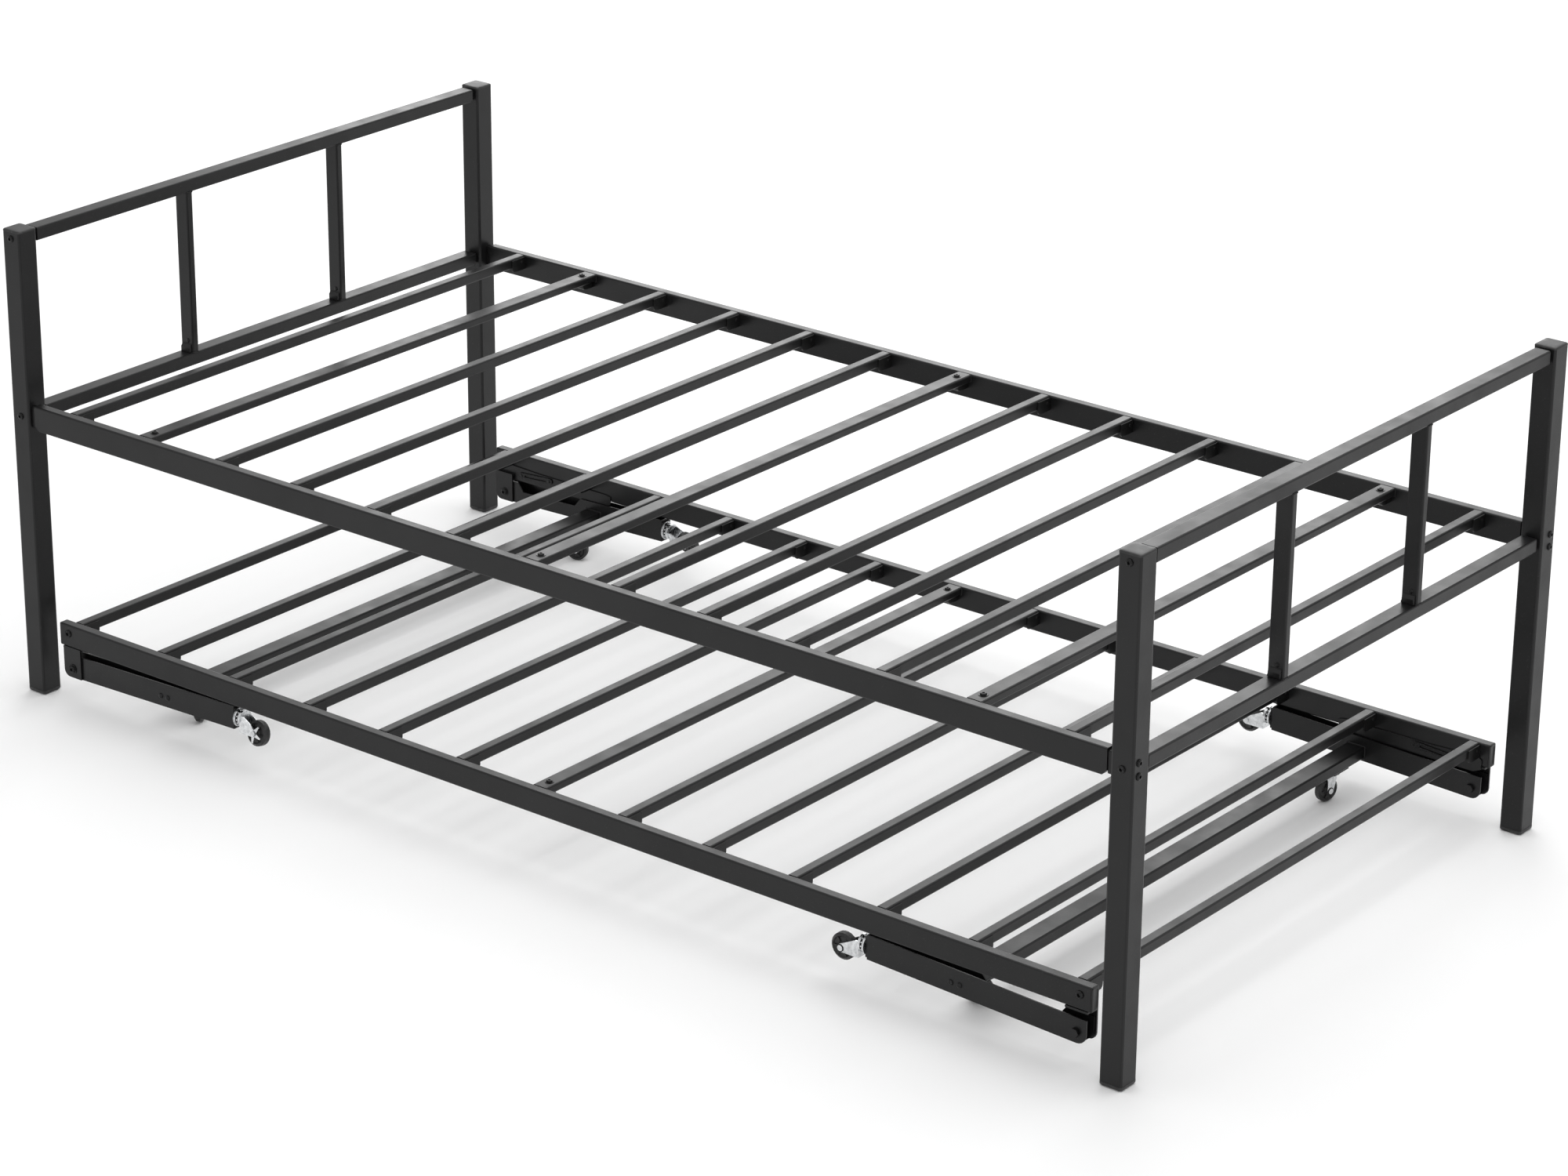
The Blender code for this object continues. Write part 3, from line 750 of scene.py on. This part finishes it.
@dataclass(frozen=True)
class SlatLug:
    """The steel lug that joins a slat's end to its rail."""

    length: float = 0.0300
    thick: float = 0.0024
    below: float = 0.0060
    above: float = 0.0025
    radius: float = 0.0060
    hang: float = 0.0100
    under_length: float = 0.0250
    under_width: float = 0.0140
    screw: Rivet = Rivet(0.0021, 0.0009)
    screw_inset: float = 0.0075

    def build_beside(
        self, maker: Maker, x: float, y: float, inward: int, bottom: float, top: float
    ) -> None:
        """Add the plate that holds a square slat from its side.

        Args:
            maker: the piece it becomes part of.
            x: the slat's side that it lies against.
            y: the rail's inner face.
            inward: sign of Y from the rail to the slat.
            bottom: the slat's underside.
            top: the slat's top.
        """
        low, high = bottom - self.below, top - self.above
        outline = self.corner_cut(inward, high - low)
        place = facing((1, 0, 0), (x - SEAT, y, low))
        maker.stack([(outline, 0.0), (outline, self.thick)], place)
        at = (x + self.thick - 0.0003, y + inward * self.screw_inset, (bottom + top) / 2 - 0.001)
        self.screw.build(maker, facing((1, 0, 0), at))

    def build_under(self, maker: Maker, x: float, y: float, inward: int, bottom: float) -> None:
        """Add the tongue that holds a flat slat from below.

        Args:
            maker: the piece it becomes part of.
            x: the slat's middle.
            y: the rail's inner face.
            inward: sign of Y from the rail to the slat.
            bottom: the slat's underside.
        """
        outline = self.corner_cut(inward, self.hang, self.under_length)
        place = facing((1, 0, 0), (x - self.under_width / 2, y, bottom - self.hang))
        maker.stack([(outline, 0.0), (outline, self.under_width)], place)

    def corner_cut(self, inward: int, height: float, length: Optional[float] = None) -> Outline:
        """A plate's outline with its lower inner corner rounded off.

        Args:
            inward: sign of Y from the rail to the slat.
            height: the plate's height.
            length: the plate's reach from the rail, if not the usual one.

        Returns:
            The outline, along Y and up from its lowest outer corner.
        """
        reach = (length or self.length) - SEAT
        radius = min(self.radius, height - 0.001)
        arc = [
            (reach - radius + radius * math.sin(a), radius - radius * math.cos(a))
            for a in (math.radians(15 * i) for i in range(7))
        ]
        points = [(SEAT, 0.0), *arc, (reach, height), (SEAT, height)]
        return [(inward * y, z) for y, z in points]


@dataclass
class Deck:
    """A slatted deck: its two rails and its slats with their lugs, welds and bolts."""

    finishes: Finishes
    rail_prefix: str
    slat_prefix: str
    body: str
    flat_slats: tuple[int, ...]
    slats: int = 13
    bolt_inset: float = 0.0190
    bead: float = 0.0011
    bead_below: float = 0.0016
    bolt: SocketBolt = SocketBolt(0.0046, 0.0022, 0.0019)
    washer: Washer = Washer(0.0066, 0.0030, 0.0007)
    lug: SlatLug = SlatLug()

    def build(self) -> None:
        """Build and dress the deck."""
        for side in Side:
            self.finishes.dress_node(f"{self.rail_prefix}_{side.name.lower()}", self.finishes.coat)
        welds = Maker(f"{self.slat_prefix}_weld_beads")
        for index in range(1, self.slats + 1):
            node = f"{self.slat_prefix}_{index:02d}"
            self.finishes.dress_node(node, self.finishes.coat)
            box = Box.of(node)
            if index in self.flat_slats:
                self.build_bolts(index, box)
            self.build_lugs(index, box)
            self.lay_beads(welds, box)
        welds.finish(self.body, self.finishes.weld, 60)

    def lay_beads(self, maker: Maker, box: Box) -> None:
        """Lay a bead down both sides and along the bottom of each slat end.

        Args:
            maker: the piece that collects the beads.
            box: the slat's box.
        """
        low, high = box.low, box.high
        start = high.z - self.bead_below
        corners = [(low.x, start), (low.x, low.z), (high.x, low.z), (high.x, start)]
        for y in (low.y, high.y):
            maker.bead([Vector((x, y, z)) for x, z in corners], self.bead)

    def build_bolts(self, index: int, box: Box) -> None:
        """Build the two bolts that hold a flat slat.

        Args:
            index: the slat's number.
            box: the slat's box.
        """
        x, top = box.centre.x, box.high.z
        for side in Side:
            y = box.face_y(side) - side.value * self.bolt_inset
            maker = Maker(f"{self.slat_prefix}_bolt_{index:02d}_{side.name.lower()}")
            self.washer.build(maker, facing((0, 0, 1), (x, y, top - 0.0001)))
            self.bolt.build(maker, facing((0, 0, 1), (x, y, top + 0.0006), index * 0.3))
            maker.finish(self.body, self.finishes.oxide_and_shade)

    def build_lugs(self, index: int, box: Box) -> None:
        """Build the lugs that carry a slat's two ends.

        Args:
            index: the slat's number.
            box: the slat's box.
        """
        maker = Maker(f"{self.slat_prefix}_lugs_{index:02d}")
        bottom, top = box.low.z, box.high.z
        for side in Side:
            y, inward = box.face_y(side), -side.value
            if index in self.flat_slats:
                self.lug.build_under(maker, box.centre.x, y, inward, bottom)
            else:
                self.lug.build_beside(maker, box.high.x, y, inward, bottom, top)
        # Painted shade: the lugs wear the beads' darker coat, which stands partly for the shade on
        # the slat sides near the rails.
        maker.finish(self.body, self.finishes.weld, 35, 0.0005)


@dataclass
class TrundleRails:
    """The ends of the trundle's rails: bolts and plastic plugs."""

    finishes: Finishes
    reach: float = 0.9130
    height: float = 0.1060
    bolt: SocketBolt = SocketBolt(0.0058, 0.0026, 0.0026)
    plug_radius: float = 0.0018
    plug_steps: tuple[tuple[float, float], ...] = (
        (0.0020, -0.0120), (0.0016, -0.0100), (0.0016, -0.0004), (0.0004, 0.0000),
        (0.0002, 0.0010), (0.0010, 0.0018), (0.0030, 0.0020), (0.0042, 0.0012),
    )

    def build(self) -> None:
        """Build one bolt in each rail end's outer face, and plug each end."""
        for end, side in CORNERS:
            box = Box.of(f"trundle_rail_{side.name.lower()}")
            self.build_plug(end, side, box)
            maker = Maker(f"trundle_rail_bolt_{place_name(end, side)}")
            at = (end.value * self.reach, box.face_y(side), self.height)
            self.bolt.build(maker, facing((0, side.value, 0), at, 0.5))
            maker.finish("trundle_deck", self.finishes.oxide_and_shade)

    def build_plug(self, end: End, side: Side, box: Box) -> None:
        """Build the plastic plug in a rail's end.

        Args:
            end: the rail's end.
            side: which rail.
            box: the rail's box.
        """
        maker = Maker(f"trundle_rail_plug_{place_name(end, side)}")
        wide, tall = box.high.y - box.low.y, box.high.z - box.low.z
        layers = [
            (rounded(wide - 2 * inset, tall - 2 * inset, self.plug_radius), height)
            for inset, height in self.plug_steps
        ]
        middle = (box.face_x(end), box.centre.y, box.centre.z)
        maker.stack(layers, facing((end.value, 0, 0), middle))
        maker.finish("trundle_deck", self.finishes.plastic)


# Leg frames


@dataclass
class Hinges:
    """The hinge brackets: pivot heads, washers, lock plates and lock links."""

    finishes: Finishes
    pivot_x: float = 0.9075
    pivot_z: float = 0.0510
    pivot_washer: Washer = Washer(0.0078, 0.0040, 0.0009)
    pivot_head: SocketBolt = SocketBolt(0.0058, 0.0028, 0.0023)
    link_z: float = 0.0870
    near_reach: float = 0.030
    far_reach: float = 0.222
    link_length: float = 0.072
    link_height: float = 0.0098
    link_thick: float = 0.0018
    link_along: float = 0.064
    link_rise: float = 0.0010
    link_tilt: float = 4.0
    slot_length: float = 0.046
    slot_height: float = 0.0036
    pin: Rivet = Rivet(0.0030, 0.0014)

    def build(self) -> None:
        """Build and dress the hinges, with heads to the near side at the head, far at the foot."""
        for end, side in CORNERS:
            name = place_name(end, side)
            node = f"bracket_{name}"
            self.finishes.dress_node(node, self.finishes.coat)
            outward = end.value
            face = Box.of(node).face_y(Side(outward))
            x = end.value * self.pivot_x
            maker = Maker(f"pivot_bolt_{name}")
            self.pivot_washer.build(maker, facing((0, outward, 0), (x, face, self.pivot_z)))
            at = (x, face + outward * 0.0007, self.pivot_z)
            self.pivot_head.build(maker, facing((0, outward, 0), at, 0.3))
            maker.finish("trundle_deck", self.finishes.oxide_and_shade)
            self.build_lock(name, end, side)

    def build_lock(self, name: str, end: End, side: Side) -> None:
        """Build the lock's plate on the rail's inner face, and the far rail's slotted link.

        Args:
            name: the corner's words.
            end: the hinge's end of the trundle.
            side: the hinge's side of the trundle.
        """
        box = Box.of(f"trundle_rail_{side.name.lower()}")
        inward = -side.value
        inner = box.high.y if side is Side.NEAR else box.low.y
        base = (end.value * self.pivot_x, inner + inward * SEAT, self.link_z)
        place = facing((0, inward, 0), base)
        toward_middle = -end.value * side.value
        reach = self.far_reach if side is Side.FAR else self.near_reach
        profile = [
            (-0.012, -0.0066), (0.0, -0.0120), (reach * 0.4, -0.0120), (reach - 0.010, -0.0110),
            (reach, -0.0066), (reach, 0.0068), (reach - 0.010, 0.0088), (reach * 0.3, 0.0096),
            (0.012, 0.0118), (-0.008, 0.0118), (-0.013, 0.0072),
        ]
        outline = [(toward_middle * x, z) for x, z in profile]
        plate = Maker(f"lock_plate_{name}")
        plate.stack([(outline, 0.0), (outline, self.link_thick)], place)
        plate.finish("trundle_deck", self.finishes.coat, 35, 0.0004)
        if side is Side.FAR:
            self.build_link(name, place, toward_middle)

    def build_link(self, name: str, place: Matrix, toward_middle: int) -> None:
        """Build the slotted link that lies on a lock's plate.

        Args:
            name: the corner's words.
            place: the plate's placement.
            toward_middle: sign of local X toward the trundle's middle.
        """
        thick = self.link_thick
        offset = (toward_middle * self.link_along, self.link_rise, thick + SEAT)
        turn = Matrix.Rotation(math.radians(self.link_tilt) * toward_middle, 4, "Z")
        tilted = place @ Matrix.Translation(offset) @ turn
        outer = rounded(self.link_length, self.link_height, self.link_height / 2 - 0.0001, 6)
        slot = rounded(self.slot_length, self.slot_height, self.slot_height / 2 - 0.0001, 6)
        maker = Maker(f"lock_link_{name}")
        maker.tube([(slot, 0.0), (outer, 0.0), (outer, thick), (slot, thick)], tilted)
        reach = (self.link_length + self.slot_length) / 4
        for sign in (-1, 1):
            self.pin.build(maker, tilted @ Matrix.Translation((sign * reach, 0.0, thick - SEAT)))
        maker.finish("trundle_deck", self.finishes.oxide_and_shade, 35, 0.0003)


@dataclass
class LegFrames:
    """The two leg frames: crossbar welds and rivet pairs."""

    finishes: Finishes
    cross_x: float = 0.7185
    cross_low: float = 0.046
    cross_high: float = 0.064
    cross_width: float = 0.030
    bead: float = 0.0014
    arm_width: float = 0.019
    rivet: Rivet = Rivet(0.0042, 0.0020)
    rivet_gap: float = 0.014
    rivet_z: float = 0.0575

    def build(self) -> None:
        """Build and dress both leg frames."""
        for end in End:
            node = f"leg_frame_{end.name.lower()}"
            self.finishes.dress_node(node, self.finishes.coat)
            box = Box.of(node)
            self.build_cross_welds(end, box)
            for side in Side:
                self.build_rivets(end, side, box)

    def build_cross_welds(self, end: End, box: Box) -> None:
        """Lay the beads where the crossbar meets the arms.

        Args:
            end: which leg frame.
            box: its box.
        """
        maker = Maker(f"crossbar_welds_{end.name.lower()}")
        x, half = end.value * self.cross_x, self.cross_width / 2
        low, high = self.cross_low, self.cross_high
        corners = [(x - half, low), (x + half, low), (x + half, high), (x - half, high)]
        for side in Side:
            y = box.face_y(side) - side.value * self.arm_width
            maker.bead([Vector((a, y, z)) for a, z in (*corners, corners[0])], self.bead)
        maker.finish(f"legs_{end.name.lower()}", self.finishes.weld, 60)

    def build_rivets(self, end: End, side: Side, box: Box) -> None:
        """Build the pair of rivets on an arm's outer face.

        Args:
            end: which leg frame.
            side: which of its arms.
            box: its box.
        """
        maker = Maker(f"arm_rivets_{place_name(end, side)}")
        for sign in (-1, 1):
            x = end.value * self.cross_x + sign * self.rivet_gap / 2
            at = (x, box.face_y(side), self.rivet_z)
            self.rivet.build(maker, facing((0, side.value, 0), at))
        maker.finish(f"legs_{end.name.lower()}", self.finishes.oxide_and_shade)


@dataclass(frozen=True)
class CasterSize:
    """The sizes that tell the two kinds of caster apart.

    Attributes:
        race: radius of the swivel race.
        depth: how far below the mount the race's seal ends.
        radius: the wheel's.
        width: the wheel's.
        cheek: from the wheel's middle to a cheek's outer face.
    """

    race: float
    depth: float
    radius: float
    width: float
    cheek: float


class CasterKind(Enum):
    """The two kinds of caster, with the words that start their names."""

    LIFT = "lift"
    FLOOR = "floor"


CASTER_SIZES = {
    CasterKind.LIFT: CasterSize(0.0135, 0.0068, 0.0190, 0.0150, 0.0102),
    CasterKind.FLOOR: CasterSize(0.0100, 0.0050, 0.0180, 0.0140, 0.0097),
}


@dataclass(frozen=True)
class CasterPlace:
    """A caster's axes, read from its joints.

    Attributes:
        stem: unit vector from the fork to its mount.
        mount: a point on the swivel axis, on the mounting face.
        axle: the wheel's centre.
        across: unit vector along the axle.
    """

    stem: Vector
    mount: Vector
    axle: Vector
    across: Vector


@dataclass
class Casters:
    """All eight casters: swivel races, axle rings and wheel details."""

    finishes: Finishes
    race_sides: int = 32
    seal_top: float = 0.0034
    balls: int = 14
    ball: Rivet = Rivet(0.0013, 0.0013, 10)
    axle_ring: Washer = Washer(0.0055, 0.0043, 0.0005)
    ribs: int = 6
    rim: float = 0.0056
    hub: float = 0.0070
    tread_sides: int = 48
    braked: tuple[str, ...] = ("head_near", "foot_far")

    def build(self) -> None:
        """Build and dress every caster."""
        for kind in CasterKind:
            for end, side in CORNERS:
                name = place_name(end, side)
                spot = self.read_place(kind, name)
                node = f"{kind.value}_caster_{name}"
                self.finishes.dress_node(f"{node}_fork", self.finishes.zinc)
                self.finishes.dress_node(f"{node}_wheel", self.finishes.plastic)
                self.build_race(kind, end, name, spot)
                self.build_wheel(kind, name, spot)
                if kind is CasterKind.FLOOR or name not in self.braked:
                    self.build_axle_rings(kind, name, spot)
        for name in self.braked:
            self.finishes.dress_node(f"brake_lever_{name}", self.finishes.zinc)

    def read_place(self, kind: CasterKind, name: str) -> CasterPlace:
        """Read a caster's axes from the frame's joints.

        Args:
            kind: which kind of caster.
            name: the corner's words.

        Returns:
            Its axes.
        """
        joints = {joint["name"]: joint for joint in frame["joints"]}
        swivel = joints[f"{kind.value}_swivel_{name}"]
        roll = joints[f"{kind.value}_roll_{name}"]
        stem = Vector(swivel["axis"]).normalized()
        across = Vector(roll["axis"]).normalized()
        return CasterPlace(stem, Vector(swivel["pos_m"]), Vector(roll["pos_m"]), across)

    def build_race(self, kind: CasterKind, end: End, name: str, spot: CasterPlace) -> None:
        """Build the race's dark seal, its balls and the mounting plate's rolled ring.

        Args:
            kind: which kind of caster.
            end: its end of the trundle.
            name: the corner's words.
            spot: its axes.
        """
        size = CASTER_SIZES[kind]
        race, depth, top = size.race, size.depth, self.seal_top
        place = facing(spot.stem, spot.mount)
        fork = f"{kind.value}_fork_{name}"
        seal = Maker(f"{kind.value}_race_seal_{name}")
        section = [
            (0.0042, 0.0008 - depth), (0.0026, -depth), (0.0014, 0.0006 - depth),
            (0.0012, -0.0040), (0.0022, -top), (0.0042, -top),
        ]
        seal.tube([(circle(race - a, self.race_sides), z) for a, z in section], place)
        seal.finish(fork, self.finishes.oxide_and_shade, 50)
        bearing = Maker(f"{kind.value}_race_balls_{name}")
        outward = facing((1, 0, 0), (race - 0.0016, 0.0, -(depth + top) / 2))
        for index in range(self.balls):
            around = place @ Matrix.Rotation(2 * math.pi * index / self.balls, 4, "Z")
            self.ball.build(bearing, around @ outward)
        bearing.finish(fork, self.finishes.zinc, 50)
        ring = Maker(f"{kind.value}_mount_ring_{name}")
        section = [
            (0.0030, SEAT), (0.0030, -0.0004), (-0.0002, -0.0004), (-0.0008, -0.0001),
            (-0.0008, SEAT),
        ]
        ring.tube([(circle(race - a, self.race_sides), z) for a, z in section], place)
        ring.finish(f"legs_{end.name.lower()}", self.finishes.zinc, 50)

    def build_axle_rings(self, kind: CasterKind, name: str, spot: CasterPlace) -> None:
        """Build the dark ring pressed round each end of the axle.

        Args:
            kind: which kind of caster.
            name: the corner's words.
            spot: its axes.
        """
        maker = Maker(f"{kind.value}_axle_rings_{name}")
        for face in (-1, 1):
            at = spot.axle + spot.across * (face * CASTER_SIZES[kind].cheek)
            self.axle_ring.build(maker, facing(spot.across * face, at))
        maker.finish(f"{kind.value}_fork_{name}", self.finishes.oxide_and_shade, 50)

    def build_wheel(self, kind: CasterKind, name: str, spot: CasterPlace) -> None:
        """Build the moulded ribs in the wheel's web and the tread's parting line.

        Args:
            kind: which kind of caster.
            name: the corner's words.
            spot: its axes.
        """
        radius, half = CASTER_SIZES[kind].radius, CASTER_SIZES[kind].width / 2
        maker = Maker(f"{kind.value}_wheel_ribs_{name}")
        rib = rounded(radius - self.rim - self.hub, 0.0016, 0.0005, 2)
        middle = Matrix.Translation(((radius - self.rim + self.hub + 0.0008) / 2, 0.0, 0.0))
        for face in (-1, 1):
            base = facing(spot.across * face, spot.axle)
            for index in range(self.ribs):
                turned = base @ Matrix.Rotation(2 * math.pi * index / self.ribs, 4, "Z")
                maker.stack([(rib, half - 0.0030), (rib, half - 0.0007)], turned @ middle)
        section = [
            (-0.0006, -0.0005), (-0.0002, -0.0005), (0.0001, 0.0), (-0.0002, 0.0005),
            (-0.0006, 0.0005),
        ]
        layers = [(circle(radius + a, self.tread_sides), z) for a, z in section]
        maker.tube(layers, facing(spot.across, spot.axle))
        maker.finish(f"{kind.value}_wheel_{name}", self.finishes.plastic)


# Studio


@dataclass
class Studio:
    """The pale floor, the soft lights and the camera."""

    floor_side: float = 40.0
    floor_drop: float = 0.0004
    air: float = 0.80
    eye: tuple[float, float, float] = (3.8606, -4.7922, 2.7691)
    yaw: float = 0.6723
    pitch: float = 0.3866
    roll: float = 0.0082
    focal_widths: float = 2.97275
    sensor: float = 36.0

    def build(self) -> None:
        """Build the whole studio."""
        self.build_floor()
        self.build_world()
        self.build_lights()
        self.build_camera()

    def build_floor(self) -> None:
        """Lay the floor, which isn't part of the bed."""
        mesh = bpy.data.meshes.new("studio_floor")
        half = self.floor_side / 2
        corners = [(-half, -half, 0.0), (half, -half, 0.0), (half, half, 0.0), (-half, half, 0.0)]
        mesh.from_pydata(corners, [], [(0, 1, 2, 3)])
        mesh.materials.append(PalePaper().material())
        floor = bpy.data.objects.new("studio_floor", mesh)
        floor.location.z = -self.floor_drop
        bpy.context.scene.collection.objects.link(floor)

    def build_world(self) -> None:
        """Light the scene evenly from all round."""
        world = bpy.data.worlds.new("studio_air")
        world.use_nodes = True
        background = world.node_tree.nodes["Background"]
        background.inputs["Color"].default_value = (1.0, 1.0, 1.0, 1.0)
        background.inputs["Strength"].default_value = self.air
        bpy.context.scene.world = world
        bpy.context.scene.view_settings.view_transform = "Standard"

    def build_lights(self) -> None:
        """Hang a large overhead softbox, a back softbox and a weak front fill."""
        self.softbox("overhead_softbox", (0.4, 0.6, 3.6), (0.0, 0.1, 0.3), 3.6, 60.0)
        self.softbox("back_softbox", (-3.2, 4.6, 2.4), (0.0, 0.0, 0.4), 3.4, 95.0)
        self.softbox("front_fill", (1.8, -5.2, 2.2), (0.0, 0.0, 0.4), 2.6, 12.0)

    def softbox(
        self, name: str, at: Sequence[float], aim: Sequence[float], side: float, power: float
    ) -> None:
        """Hang one square area light.

        Args:
            name: the light's name.
            at: its place.
            aim: the point that it faces.
            side: its side.
            power: its power in watts.
        """
        data = bpy.data.lights.new(name, "AREA")
        data.shape = "SQUARE"
        data.size = side
        data.energy = power
        light = bpy.data.objects.new(name, data)
        light.location = at
        light.rotation_euler = (Vector(aim) - Vector(at)).to_track_quat("-Z", "Y").to_euler()
        bpy.context.scene.collection.objects.link(light)

    def build_camera(self) -> None:
        """Set up the camera that the scene is framed by."""
        data = bpy.data.cameras.new("studio_camera")
        data.sensor_width = self.sensor
        data.lens = self.focal_widths * self.sensor
        data.clip_end = 200.0
        camera = bpy.data.objects.new("studio_camera", data)
        tilt = Matrix.Rotation(math.pi / 2 - self.pitch, 4, "X")
        roll = Matrix.Rotation(self.roll, 4, "Z")
        turn = Matrix.Rotation(self.yaw, 4, "Z")
        camera.matrix_world = Matrix.Translation(Vector(self.eye)) @ turn @ tilt @ roll
        bpy.context.scene.collection.objects.link(camera)
        bpy.context.scene.camera = camera


def main() -> None:
    """Build every sub-assembly in order."""
    logging.basicConfig(level=logging.INFO, format="%(name)s: %(message)s")
    finishes = Finishes()
    Studio().build()
    Posts(finishes).build()
    Panels(finishes).build()
    Deck(finishes, "bed_rail", "bed_slat", "bed_frame", (2, 7, 12)).build()
    Deck(finishes, "trundle_rail", "trundle_slat", "trundle_deck", (7,)).build()
    TrundleRails(finishes).build()
    Hinges(finishes).build()
    LegFrames(finishes).build()
    Casters(finishes).build()


if __name__ == "__main__":
    main()
